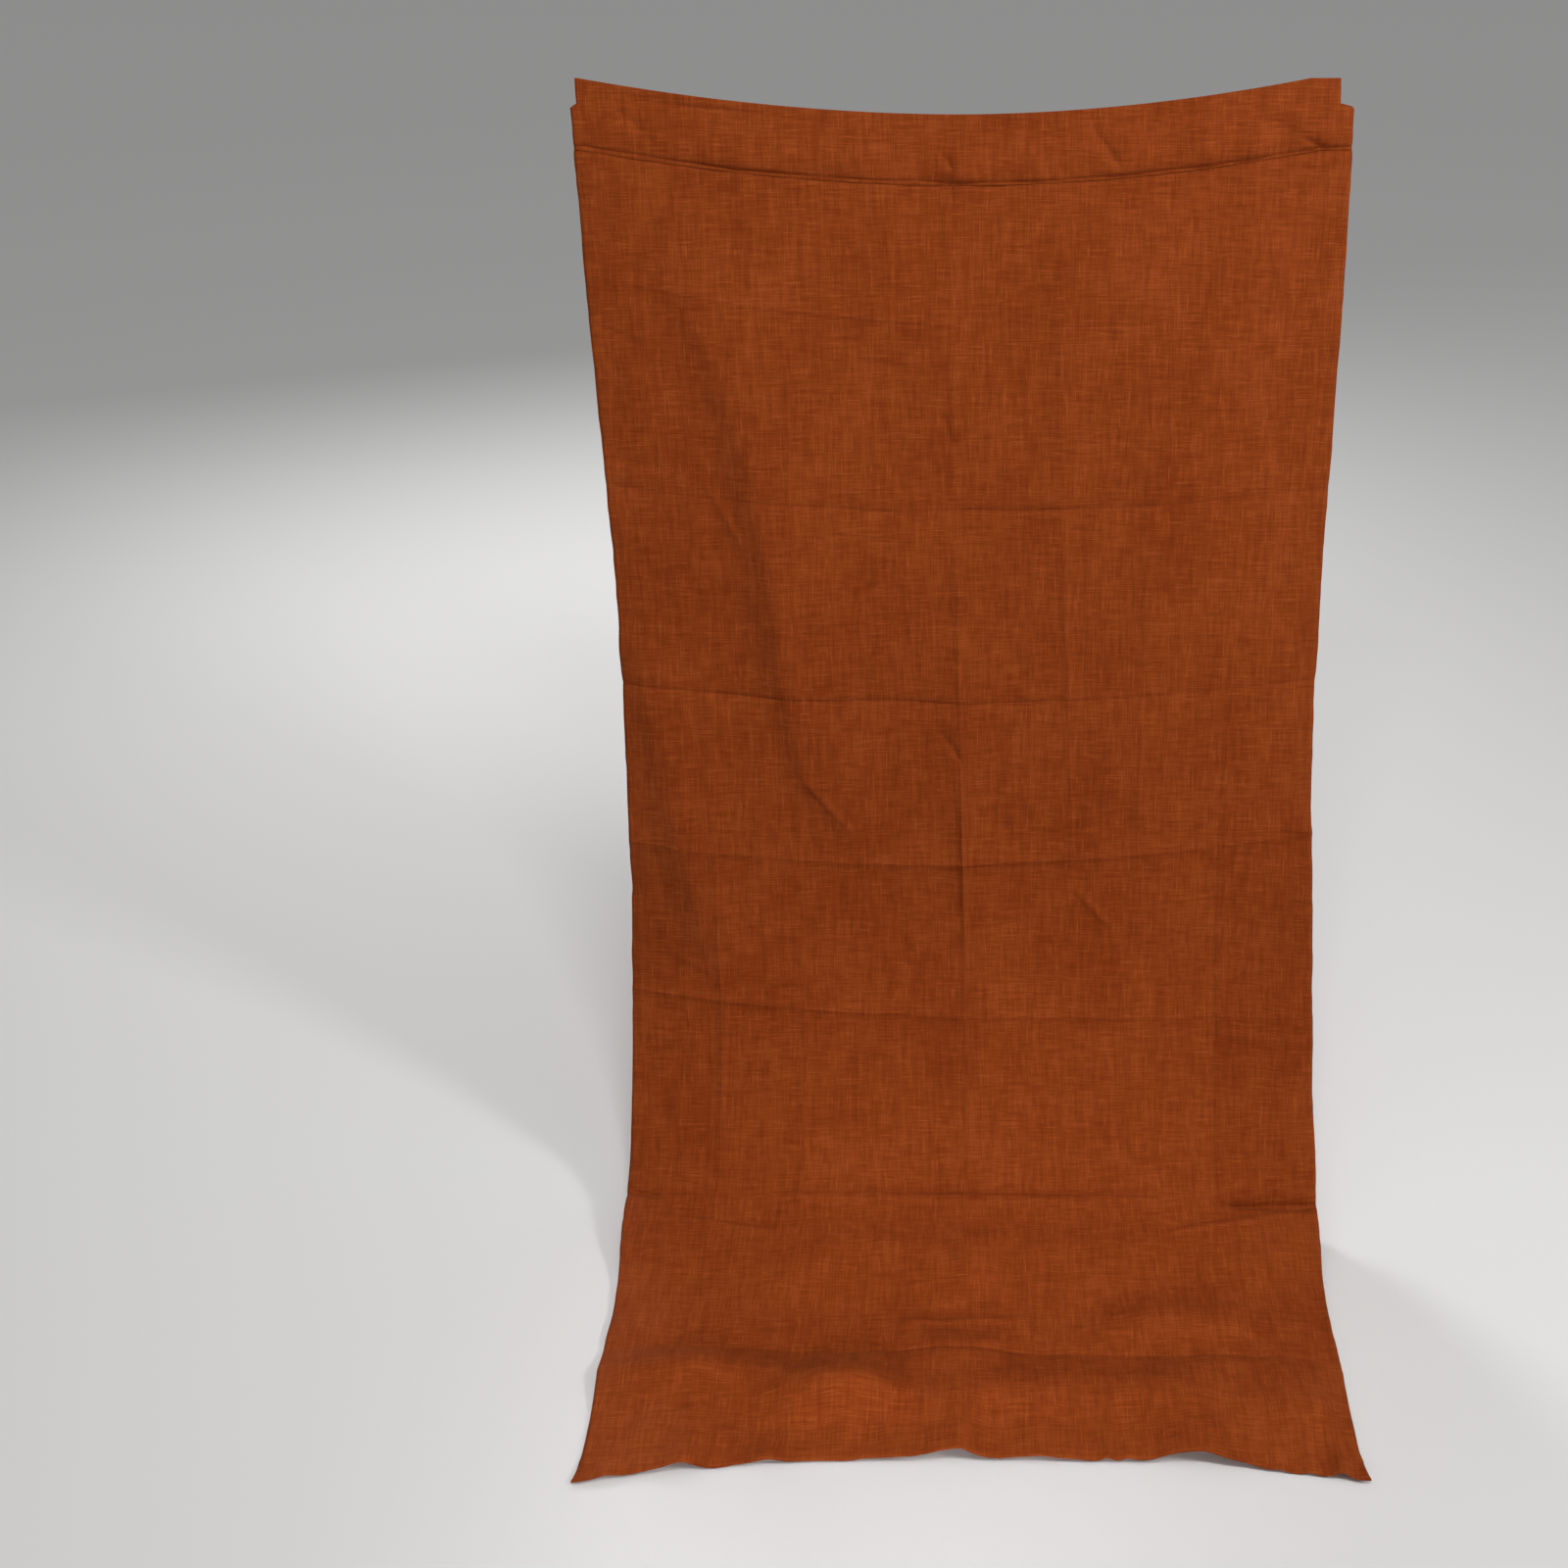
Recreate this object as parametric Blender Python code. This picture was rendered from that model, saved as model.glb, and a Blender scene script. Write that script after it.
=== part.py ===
"""Unlined linen curtain panel with a rod pocket, hung by its top corners, its end lying on the floor.

Frame: metres, +Z up, +X from the left end of the pocket to the right end, -Y towards the room.
The origin is the middle of the rod pocket's tunnel. The cloth drops from the pocket, swings forward
and runs out over the floor, so one profile in the YZ plane carries every layer of cloth. Distances
along the cloth are counted from a level line, a little below the two held corners of the top fold.
"""
import math

import bpy
from mathutils import Vector

# Cut cloth
HALF_WIDTH = 0.70            # half the finished width
CORNER_LENGTH = 2.98         # level line to bottom fold along either side edge
CLOTH = 0.0010               # one ply of linen
GAP = 0.0003                 # air left between plies
PITCH = CLOTH + GAP          # from the middle of one ply to the middle of the next
FOLD_BREAK = 1.5 * CLOTH     # left where one stretch of a folded ply follows on from another

# How it hangs
CORNER_RISE = 0.012          # the held corners stand this far above the level line
TOP_SAG = 0.063              # dip of the top fold between the two held corners
SEAM_SAG = 0.064             # dip of the pocket seam, a little more than the fold's
SAG_HALF_SPAN = 0.66         # the fold is level outside this
SAG_POWER = 2.0
POCKET_AT_CORNER = 0.110     # level line to pocket seam, at either end
ORIGIN_DROP = 0.112          # level line down to the middle of the pocket
UPRIGHT = 0.190              # stretch below the level line that hangs plumb
FLOOR_DROP = 2.176           # level line down to the cloth on the floor
CATENARY = 0.180             # catenary constant of the hanging stretch
EDGE_WAVE = 0.008            # slow in-and-out of the side edges
EDGE_WAVE_LENGTH = 1.9
EDGE_WAVE_START = 0.2
LEAN = 0.017                 # sideways offset of the top against the middle
LEAN_REACH = 0.8
END_DIP = 0.055              # the bottom edge's middle stops short of its corners by this
END_POWER = 3.0

# Rod pocket
HEADING = 0.024              # flat strip above the tunnel
TUNNEL_DEPTH = 0.018         # clear space between the front and the back ply
FRONT_BULGE = 0.003          # the front ply stands out this much more, halfway down the tunnel
HEADING_SLOPE = 0.012        # height over which the back ply leaves the front ply
HEM_SLOPE = 0.024            # height over which it closes to the front ply again
SLOPED_PITCH = 1.7 * PITCH   # between plies on that slope, measured front to back
POCKET_EDGE = 0.002          # folded edge of the pocket hem below its stitching
SEAM_FLAT = 0.004            # pressed flat above the pocket's stitching
TURN_UNDER = 0.010           # raw edge turned inside every hem
NOTCH_HEIGHT = 0.046         # height over which the pocket's upper corners are set in
NOTCH_LEFT = 0.012
NOTCH_RIGHT = 0.025
NOTCH_STEP = 0.002           # height over which the edge steps back out

# Hems
SIDE_HEM = 0.015
SIDE_HEM_START = 0.008       # below the pocket seam
BOTTOM_HEM = 0.040
HEM_CLEARANCE = 0.006        # between the side hems and the bottom hem
EDGE_CLEARANCE = 0.0004      # a hem ply stays this far inside the panel's edge

# Stitching
THREAD_WIDTH = 0.0012
THREAD_HEIGHT = 0.0006
STITCH_INSET = 0.002         # stitching from the inner edge of its hem
TACK_LENGTH = 0.010
TACK_HEIGHT = 0.0009
TACK_WIDTH = 0.0026
TACK_INSET = 0.004           # bar tack from the panel's side edge

# Mesh rows and columns
COLUMNS = 16
ROW_STEP = 0.060
FLOOR_ROWS = 6

NOTCH_TOP = NOTCH_HEIGHT - NOTCH_STEP / 2.0
NOTCH_BOTTOM = NOTCH_HEIGHT + NOTCH_STEP / 2.0
FRONT_Y = -(TUNNEL_DEPTH + CLOTH) / 2.0
FLOOR_Z = ORIGIN_DROP - FLOOR_DROP
CATENARY_DROP = FLOOR_DROP - UPRIGHT
CATENARY_REACH = CATENARY * math.acosh(1.0 + CATENARY_DROP / CATENARY)
TOUCHDOWN = UPRIGHT + CATENARY * math.sinh(CATENARY_REACH / CATENARY)
FLAT_FROM = TOUCHDOWN + 0.05

LINEN = ("rust_linen", (0.235, 0.044, 0.010, 1.0), 0.92)
THREAD = ("rust_thread", (0.205, 0.038, 0.009, 1.0), 0.70)


def material(spec):
    name, colour, roughness = spec
    existing = bpy.data.materials.get(name)
    if existing:
        return existing
    made = bpy.data.materials.new(name)
    made.use_nodes = True
    shader = made.node_tree.nodes["Principled BSDF"]
    shader.inputs["Base Color"].default_value = colour
    shader.inputs["Roughness"].default_value = roughness
    shader.inputs["Metallic"].default_value = 0.0
    made.diffuse_color = colour
    return made


def profile(along):
    """Point (y, z) of the cloth at a distance along it, and the normal (y, z) to its back."""
    if along <= UPRIGHT:
        return FRONT_Y, ORIGIN_DROP - along, 1.0, 0.0
    if along >= TOUCHDOWN:
        return FRONT_Y - CATENARY_REACH - (along - TOUCHDOWN), FLOOR_Z, 0.0, -1.0
    rise = math.asinh((TOUCHDOWN - along) / CATENARY)
    y = FRONT_Y + CATENARY * rise - CATENARY_REACH
    z = FLOOR_Z + CATENARY * (math.cosh(rise) - 1.0)
    return y, z, math.tanh(rise), -1.0 / math.cosh(rise)


def middle_x(along):
    return 0.3 * LEAN - LEAN * math.exp(-along / LEAN_REACH)


def half_width(along):
    swing = 2.0 * math.pi * (along - EDGE_WAVE_START) / EDGE_WAVE_LENGTH
    return HALF_WIDTH + EDGE_WAVE * math.cos(swing)


def edge_x(side, along, inset=0.0):
    """X of the side edge, side being -1 on the left and +1 on the right."""
    return middle_x(along) + side * (half_width(along) - inset)


def sag_share(u):
    """1 in the middle of the top fold, 0 where the corners hold it level."""
    spread = min(1.0, abs(u) * HALF_WIDTH / SAG_HALF_SPAN)
    return 1.0 - spread ** SAG_POWER


def top_line(u):
    return TOP_SAG * sag_share(u) - CORNER_RISE


def seam_line(u):
    return POCKET_AT_CORNER + SEAM_SAG * sag_share(u)


def bottom_line(u):
    return CORNER_LENGTH - END_DIP * (1.0 - abs(u) ** END_POWER)


def place(x, along, offset=0.0):
    """Point at x, at a distance along the cloth, offset to its back."""
    y, z, normal_y, normal_z = profile(along)
    return Vector((x, y + normal_y * offset, z + normal_z * offset))


def across(count=COLUMNS):
    return [-1.0 + 2.0 * i / count for i in range(count + 1)]


def shared_rows(first, last):
    """Distances that every layer uses below the pocket, so that layers stay parallel."""
    rows = [UPRIGHT]
    while rows[-1] + 1.5 * ROW_STEP < FLAT_FROM:
        rows.append(rows[-1] + ROW_STEP)
    rows.append(FLAT_FROM)
    inner = [row for row in rows if first + 0.004 < row < last - 0.004]
    return [first] + inner + [last]


def add_sheet(name, grid, spec, thickness=CLOTH):
    """A closed sheet about the grid of points, one row of points per list."""
    width = len(grid[0])
    points = [point for row in grid for point in row]
    faces = []
    for i in range(len(grid) - 1):
        for j in range(width - 1):
            corner = i * width + j
            faces.append((corner, corner + 1, corner + width + 1, corner + width))
    mesh = bpy.data.meshes.new(name)
    mesh.from_pydata(points, [], faces)
    mesh.materials.append(material(spec))
    piece = bpy.data.objects.new(name, mesh)
    bpy.context.collection.objects.link(piece)
    solid = piece.modifiers.new("ply", "SOLIDIFY")
    solid.thickness = thickness
    solid.offset = 0.0
    solid.use_even_offset = True
    return piece


def panel_edge(side, along, below_top):
    """X of the panel's edge, set in beside the upper part of the pocket."""
    notch = NOTCH_LEFT if side < 0 else NOTCH_RIGHT
    inset = notch if below_top < NOTCH_HEIGHT else 0.0
    return edge_x(side, along, inset)


def panel_point(u, along, below_top, offset=0.0):
    left = panel_edge(-1, along, below_top)
    right = panel_edge(1, along, below_top)
    return place(left + (right - left) * (u + 1.0) / 2.0, along, offset)


def make_panel():
    depths = (0.0, HEADING, NOTCH_TOP, NOTCH_BOTTOM)
    grid = [[panel_point(u, top_line(u) + depth, depth) for u in across()] for depth in depths]
    for share, bulge in ((0.5, FRONT_BULGE), (1.0, 0.0)):
        row = []
        for u in across():
            start = top_line(u) + NOTCH_BOTTOM
            along = start + (seam_line(u) - start) * share
            row.append(panel_point(u, along, 1.0, -bulge))
        grid.append(row)
    for along in shared_rows(0.0, FLAT_FROM + 1.0)[1:-1]:
        grid.append([panel_point(u, along, 1.0) for u in across()])
    for step in range(1, FLOOR_ROWS + 1):
        share = step / FLOOR_ROWS
        row = []
        for u in across():
            along = FLAT_FROM + (bottom_line(u) - FLAT_FROM) * share
            row.append(panel_point(u, along, 1.0))
        grid.append(row)
    add_sheet("panel_cloth", grid, LINEN)


def pocket_strip(name, sections):
    """A strip across the pocket; each section gives the line it follows, a drop and an offset."""
    grid = []
    for line, drop, offset in sections:
        row = []
        for u in across():
            along = line(u) + drop
            row.append(panel_point(u, along, along - top_line(u), offset))
        grid.append(row)
    add_sheet(name, grid, LINEN)


def make_pocket():
    back = CLOTH / 2.0 + TUNNEL_DEPTH + CLOTH / 2.0
    slope_end = HEADING + HEADING_SLOPE
    slope_start = SEAM_FLAT + HEM_SLOPE
    pocket_strip("heading_fold", (
        (top_line, 0.0, PITCH),
        (top_line, HEADING, PITCH),
        (top_line, slope_end, back)))
    pocket_strip("pocket_back_ply", (
        (top_line, slope_end + FOLD_BREAK, back),
        (top_line, NOTCH_TOP, back),
        (top_line, NOTCH_BOTTOM, back),
        (seam_line, -slope_start - FOLD_BREAK, back)))
    pocket_strip("pocket_hem_fold", (
        (seam_line, -slope_start, back),
        (seam_line, -SEAM_FLAT, 2.0 * PITCH),
        (seam_line, POCKET_EDGE, 2.0 * PITCH)))
    risen = (back - 2.0 * PITCH) * (TURN_UNDER - SEAM_FLAT) / HEM_SLOPE
    pocket_strip("pocket_turn_under", (
        (seam_line, -TURN_UNDER, 2.0 * PITCH + risen - SLOPED_PITCH),
        (seam_line, -SEAM_FLAT, PITCH),
        (seam_line, POCKET_EDGE, PITCH)))


def side_strip(name, side, near, far, offset, spec=LINEN, thickness=CLOTH):
    """A strip beside a side edge, between two insets from it."""
    rows = shared_rows(POCKET_AT_CORNER + SIDE_HEM_START, CORNER_LENGTH - BOTTOM_HEM - HEM_CLEARANCE)
    grid = []
    for along in rows:
        grid.append([place(edge_x(side, along, inset), along, offset) for inset in (near, far)])
    add_sheet(name, grid, spec, thickness)


def thread_offset(layer, direction):
    """Middle of a thread lying on the outside of a layer; direction is -1 in front, +1 behind."""
    return layer * PITCH + direction * (CLOTH / 2.0 + GAP + THREAD_HEIGHT / 2.0)


def make_side_hem(label, side):
    side_strip(label + "_hem_turn_under", side, EDGE_CLEARANCE, TURN_UNDER, PITCH)
    side_strip(label + "_hem_fold", side, EDGE_CLEARANCE, SIDE_HEM, 2.0 * PITCH)
    near = SIDE_HEM - STITCH_INSET - THREAD_WIDTH / 2.0
    far = near + THREAD_WIDTH
    side_strip(label + "_hem_needle_thread", side, near, far, thread_offset(0, -1), THREAD,
               THREAD_HEIGHT)
    side_strip(label + "_hem_bobbin_thread", side, near, far, thread_offset(2, 1), THREAD,
               THREAD_HEIGHT)


def bottom_strip(name, near, far, offset, spec=LINEN, thickness=CLOTH):
    """A strip along the bottom edge, between two distances up from it."""
    grid = []
    for up in (far, near):
        row = []
        for u in across():
            along = bottom_line(u) - up
            x = middle_x(along) + u * (half_width(along) - EDGE_CLEARANCE)
            row.append(place(x, along, offset))
        grid.append(row)
    add_sheet(name, grid, spec, thickness)


def make_bottom_hem():
    bottom_strip("bottom_hem_turn_under", EDGE_CLEARANCE, TURN_UNDER, PITCH)
    bottom_strip("bottom_hem_fold", EDGE_CLEARANCE, BOTTOM_HEM, 2.0 * PITCH)
    near = BOTTOM_HEM - STITCH_INSET - THREAD_WIDTH / 2.0
    far = near + THREAD_WIDTH
    bottom_strip("bottom_hem_needle_thread", near, far, thread_offset(0, -1), THREAD, THREAD_HEIGHT)
    bottom_strip("bottom_hem_bobbin_thread", near, far, thread_offset(2, 1), THREAD, THREAD_HEIGHT)


def seam_thread(name, offset):
    """The pocket's stitching, from one bar tack to the other."""
    reach = 1.0 - (TACK_INSET + TACK_LENGTH + THREAD_WIDTH) / HALF_WIDTH
    grid = []
    for rise in (THREAD_WIDTH / 2.0, -THREAD_WIDTH / 2.0):
        row = []
        for u in across():
            along = seam_line(u * reach)
            x = middle_x(along) + u * reach * half_width(along)
            row.append(place(x, along - rise, offset))
        grid.append(row)
    add_sheet(name, grid, THREAD, THREAD_HEIGHT)


def make_bar_tack(label, side):
    """A short dense bar of stitches that closes the end of the pocket's seam."""
    along = POCKET_AT_CORNER
    depth = -(CLOTH / 2.0 + GAP + TACK_HEIGHT / 2.0)
    near = edge_x(side, along, TACK_INSET)
    far = edge_x(side, along, TACK_INSET + TACK_LENGTH)
    grid = []
    for rise in (TACK_WIDTH / 2.0, -TACK_WIDTH / 2.0):
        grid.append([place(x, along - rise, depth) for x in (near, far)])
    add_sheet("pocket_bar_tack_" + label, grid, THREAD, TACK_HEIGHT)


def main():
    for stale in list(bpy.data.objects):
        bpy.data.objects.remove(stale, do_unlink=True)
    make_panel()
    make_pocket()
    seam_thread("pocket_needle_thread", thread_offset(0, -1))
    seam_thread("pocket_bobbin_thread", thread_offset(2, 1))
    for label, side in (("left", -1), ("right", 1)):
        make_side_hem(label, side)
        make_bar_tack(label, side)
    make_bottom_hem()


main()
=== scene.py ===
"""Looks of the linen curtain panel: the creased cloth, its folded hems, its stitching and the studio.

The cloth is one relief over the profile that the CAD model hangs in. Flat cloth coordinates are
x, in metres from the panel's middle, and along, in metres down from a level line that runs a little
below the two held corners.
"""
import math

import bpy
import numpy as np
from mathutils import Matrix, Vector


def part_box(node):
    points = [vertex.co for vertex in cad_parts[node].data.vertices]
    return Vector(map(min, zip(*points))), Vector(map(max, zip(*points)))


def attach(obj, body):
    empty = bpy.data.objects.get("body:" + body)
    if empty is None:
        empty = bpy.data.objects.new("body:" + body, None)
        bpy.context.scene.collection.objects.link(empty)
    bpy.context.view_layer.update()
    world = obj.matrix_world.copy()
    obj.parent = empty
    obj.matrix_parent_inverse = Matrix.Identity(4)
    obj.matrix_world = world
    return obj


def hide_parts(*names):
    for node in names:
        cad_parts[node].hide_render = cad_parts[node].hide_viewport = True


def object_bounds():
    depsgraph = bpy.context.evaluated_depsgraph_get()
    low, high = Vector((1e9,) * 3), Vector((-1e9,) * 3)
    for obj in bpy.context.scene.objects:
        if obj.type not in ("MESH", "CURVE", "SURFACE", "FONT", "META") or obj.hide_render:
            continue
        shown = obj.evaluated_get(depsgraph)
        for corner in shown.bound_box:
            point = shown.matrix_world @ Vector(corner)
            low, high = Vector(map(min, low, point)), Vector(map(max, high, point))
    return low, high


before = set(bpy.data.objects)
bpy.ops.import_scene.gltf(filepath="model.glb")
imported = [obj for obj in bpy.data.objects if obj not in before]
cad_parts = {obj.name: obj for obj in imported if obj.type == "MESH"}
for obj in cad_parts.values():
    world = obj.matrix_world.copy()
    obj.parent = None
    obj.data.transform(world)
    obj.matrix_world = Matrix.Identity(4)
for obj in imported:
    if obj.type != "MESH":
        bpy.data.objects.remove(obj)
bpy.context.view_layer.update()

# The panel as the CAD model hangs it, except that its top fold dips a little differently at each side
HALF_WIDTH = 0.70
CORNER_LENGTH = 2.98
CLOTH = 0.0010
GAP = 0.0003
PITCH = CLOTH + GAP
CORNER_RISE = 0.012
TOP_SAG = 0.063
SEAM_SAG = 0.064
SAG_SPAN_LEFT = 0.695        # the top fold is level outside these
SAG_SPAN_RIGHT = 0.645
SAG_POWER = 1.9
POCKET_AT_CORNER = 0.110
UPRIGHT = 0.190
CATENARY = 0.180
EDGE_WAVE = 0.008
EDGE_WAVE_LENGTH = 1.9
EDGE_WAVE_START = 0.2
LEAN = 0.017
LEAN_REACH = 0.8
END_DIP = 0.055
END_POWER = 3.0
NOTCH_HEIGHT = 0.046
NOTCH_LEFT = 0.012
NOTCH_RIGHT = 0.025
SIDE_HEM = 0.015
BOTTOM_HEM = 0.040
TURN_UNDER = 0.010
STITCH_INSET = 0.002

PANEL_LOW, PANEL_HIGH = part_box("panel_cloth")
TOP_Z = PANEL_HIGH.z - CORNER_RISE
FRONT_Y = PANEL_HIGH.y - CLOTH / 2.0
FLOOR_Z = PANEL_LOW.z + CLOTH / 2.0
DROP = TOP_Z - FLOOR_Z - UPRIGHT
REACH = CATENARY * math.acosh(1.0 + DROP / CATENARY)
TOUCHDOWN = UPRIGHT + CATENARY * math.sinh(REACH / CATENARY)

PLY = 0.0008                 # linen thickness as drawn
SMALL = 1e-6
FLOOR_WAIST = 0.007          # how much the cloth draws in where it lies down
CORNER_FLARE = 0.012         # how far the bottom corners reach out


# ---------------------------------------------------------------- cloth shape

def smooth(value):
    value = np.clip(value, 0.0, 1.0)
    return value * value * (3.0 - 2.0 * value)


def noise(x, y, seed):
    """Value noise, from -1 to 1, one lattice cell per unit of x and y."""
    table = np.random.default_rng(seed).uniform(-1.0, 1.0, (64, 64))
    column = np.floor(x).astype(int)
    row = np.floor(y).astype(int)
    right = smooth(x - column)
    down = smooth(y - row)
    top = table[row % 64, column % 64] * (1 - right) + table[row % 64, (column + 1) % 64] * right
    low = table[(row + 1) % 64, column % 64] * (1 - right)
    low = low + table[(row + 1) % 64, (column + 1) % 64] * right
    return top * (1 - down) + low * down


def profile(along):
    """y, z and the back normal's y and z at distances along the cloth."""
    rise = np.arcsinh(np.clip(TOUCHDOWN - along, 0.0, None) / CATENARY)
    y = FRONT_Y + CATENARY * rise - REACH
    z = FLOOR_Z + CATENARY * (np.cosh(rise) - 1.0)
    normal_y = np.tanh(rise)
    normal_z = -1.0 / np.cosh(rise)
    upright = along <= UPRIGHT
    flat = along >= TOUCHDOWN
    y = np.where(upright, FRONT_Y, np.where(flat, FRONT_Y - REACH - (along - TOUCHDOWN), y))
    z = np.where(upright, TOP_Z - along, np.where(flat, FLOOR_Z, z))
    normal_y = np.where(upright, 1.0, normal_y)
    normal_z = np.where(upright, 0.0, normal_z)
    return y, z, normal_y, normal_z


def middle_x(along):
    return 0.3 * LEAN - LEAN * np.exp(-along / LEAN_REACH)


def half_width(along):
    swing = 2.0 * math.pi * (along - EDGE_WAVE_START) / EDGE_WAVE_LENGTH
    uneven = 0.0012 * noise(along * 14.0, along * 0.0 + 0.5, 3)
    uneven = uneven + 0.0007 * noise(along * 45.0, along * 0.0 + 0.5, 4)
    waist = FLOOR_WAIST * np.exp(-((along - TOUCHDOWN - 0.16) / 0.12) ** 2)
    flare = CORNER_FLARE * np.exp((along - CORNER_LENGTH) / 0.04)
    return HALF_WIDTH + EDGE_WAVE * np.cos(swing) + uneven - waist + flare


def sag_share(x):
    span = np.where(x < 0.0, SAG_SPAN_LEFT, SAG_SPAN_RIGHT)
    return 1.0 - np.minimum(1.0, np.abs(x) / span) ** SAG_POWER


def top_line(x):
    return TOP_SAG * sag_share(x) - CORNER_RISE


def seam_line(x):
    return POCKET_AT_CORNER + SEAM_SAG * sag_share(x)


def bottom_line(x):
    share = np.minimum(1.0, np.abs(x) / HALF_WIDTH)
    uneven = 0.003 * noise(x * 8.0, x * 0.0 + 0.5, 5) + 0.0012 * noise(x * 24.0, x * 0.0 + 0.5, 6)
    return CORNER_LENGTH - END_DIP * (1.0 - share ** END_POWER) + uneven * (1.0 - share ** 8)


def polyline_distance(x, along, points):
    """Signed distance from a route, positive to its right, and the share of the way along it."""
    steps = len(points) - 1
    best = np.full(x.shape, 9.0)
    signed = np.full(x.shape, 9.0)
    share = np.zeros(x.shape)
    for index in range(steps):
        ax, ay = points[index]
        bx, by = points[index + 1]
        dx, dy = bx - ax, by - ay
        length = math.hypot(dx, dy)
        t = np.clip(((x - ax) * dx + (along - ay) * dy) / length ** 2, 0.0, 1.0)
        off_x, off_y = x - ax - t * dx, along - ay - t * dy
        distance = np.hypot(off_x, off_y)
        side = np.where(dy * off_x - dx * off_y >= 0.0, 1.0, -1.0)
        nearer = distance < best
        best = np.where(nearer, distance, best)
        signed = np.where(nearer, distance * side, signed)
        share = np.where(nearer, (index + t) / steps, share)
    return signed, share


def rounded(points, passes=2):
    """The route with its corners cut, so that a fold runs in a curve."""
    for _ in range(passes):
        cut = [points[0]]
        for (ax, ay), (bx, by) in zip(points, points[1:]):
            cut.append((0.75 * ax + 0.25 * bx, 0.75 * ay + 0.25 * by))
            cut.append((0.25 * ax + 0.75 * bx, 0.25 * ay + 0.75 * by))
        points = cut + [points[-1]]
    return points


# Draw folds: route, height, width on the left of the crest, width on the right
DRAW_FOLDS = (
    (((-0.53, 0.20), (-0.508, 0.405), (-0.457, 0.533), (-0.403, 0.754), (-0.373, 0.972), (-0.36, 1.18),
      (-0.314, 1.35), (-0.22, 1.48)), 0.022, 0.034, 0.130),
    (((-0.66, 1.02), (-0.61, 1.30), (-0.57, 1.56), (-0.50, 1.78)), 0.020, 0.034, 0.090),
    (((0.56, 0.42), (0.469, 0.69), (0.391, 0.862), (0.36, 1.10)), 0.010, 0.090, 0.040),
    (((-0.020, 1.02), (-0.012, 1.20), (-0.008, 1.38), (0.000, 1.62)), 0.014, 0.110, 0.060),
    (((0.08, 1.78), (0.05, 1.95), (0.04, 2.20)), 0.011, 0.120, 0.080),
    (((0.665, 1.78), (0.660, 1.95), (0.640, 2.14)), 0.011, 0.030, 0.060),
    (((0.705, 1.40), (0.695, 1.52), (0.685, 1.66)), 0.008, 0.028, 0.040),
    (((0.580, 1.80), (0.575, 1.95), (0.570, 2.14)), 0.008, 0.045, 0.030),
)

# Short creases: start, end, height, width
NICKS = (
    ((-0.715, 0.425), (-0.605, 0.470), -0.0016, 0.006),
    ((-0.690, 0.685), (-0.575, 0.702), -0.0017, 0.007),
    ((-0.680, 1.036), (-0.590, 1.052), -0.0018, 0.006),
    ((-0.680, 1.224), (-0.560, 1.202), -0.0015, 0.006),
    ((-0.610, 1.712), (-0.520, 1.756), 0.0014, 0.006),
    ((-0.700, 1.885), (-0.540, 1.902), 0.0022, 0.006),
    ((-0.700, 1.925), (-0.530, 1.920), -0.0014, 0.006),
    ((-0.700, 2.215), (-0.630, 2.224), -0.0034, 0.007),
    ((-0.700, 2.276), (-0.370, 2.340), 0.0028, 0.008),
    ((-0.515, 0.720), (-0.430, 0.872), 0.0016, 0.006),
    ((-0.340, 1.325), (-0.230, 1.456), 0.0020, 0.006),
    ((-0.260, 0.485), (-0.060, 0.524), -0.0010, 0.005),
    ((-0.056, 0.590), (-0.022, 0.672), -0.0014, 0.005),
    ((-0.060, 1.228), (-0.006, 1.308), -0.0022, 0.006),
    ((-0.136, 1.245), (-0.106, 1.336), 0.0010, 0.005),
    ((-0.180, 1.616), (0.205, 1.630), 0.0007, 0.004),
    ((-0.245, 2.180), (-0.150, 2.270), 0.0028, 0.009),
    ((0.300, 1.338), (0.216, 1.446), 0.0025, 0.006),
    ((0.214, 1.564), (0.304, 1.664), 0.0025, 0.006),
    ((0.124, 0.870), (0.132, 0.940), 0.0011, 0.004),
    ((0.595, 1.045), (0.700, 1.040), 0.0016, 0.006),
    ((0.640, 1.440), (0.720, 1.444), 0.0030, 0.009),
    ((0.515, 1.892), (0.715, 1.882), 0.0018, 0.006),
    ((0.720, 2.040), (0.620, 2.078), -0.0030, 0.010),
    ((0.720, 2.130), (0.640, 2.145), 0.0026, 0.009),
    ((0.500, 2.244), (0.730, 2.262), -0.0075, 0.013),
    ((0.368, 2.354), (0.700, 2.272), 0.0026, 0.010),
    ((-0.180, 2.575), (0.160, 2.556), 0.0024, 0.007),
    ((0.655, 2.560), (0.710, 2.610), -0.0030, 0.012),
)

# Packing creases across the panel: along at the left edge, middle and right edge, then
# heights at CREASE_X in units of PRESS. A ridge is above 0 and a valley below.
CREASE_X = (-0.60, -0.32, -0.03, 0.0, 0.30, 0.60)
ROW_CREASES = (
    (0.335, 0.430, 0.400, (0.8, 1.3, 1.1, -0.4, -0.7, -0.4)),
    (0.735, 0.787, 0.740, (-0.8, -1.6, -1.3, -1.8, -1.6, -1.1)),
    (1.135, 1.178, 1.130, (-2.2, -2.3, -2.6, -1.8, -1.6, -1.2)),
    (1.468, 1.516, 1.446, (1.4, 2.2, 2.5, 3.0, 2.5, 2.4)),
    (1.790, 1.846, 1.835, (2.3, 2.1, 2.4, 1.7, 1.5, 1.0)),
    (2.222, 2.234, 2.250, (-2.4, 2.4, 5.6, 5.2, 2.8, -4.2)),
    (2.640, 2.650, 2.672, (-1.2, -2.4, -2.4, -2.6, -2.2, -1.0)),
)

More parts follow.
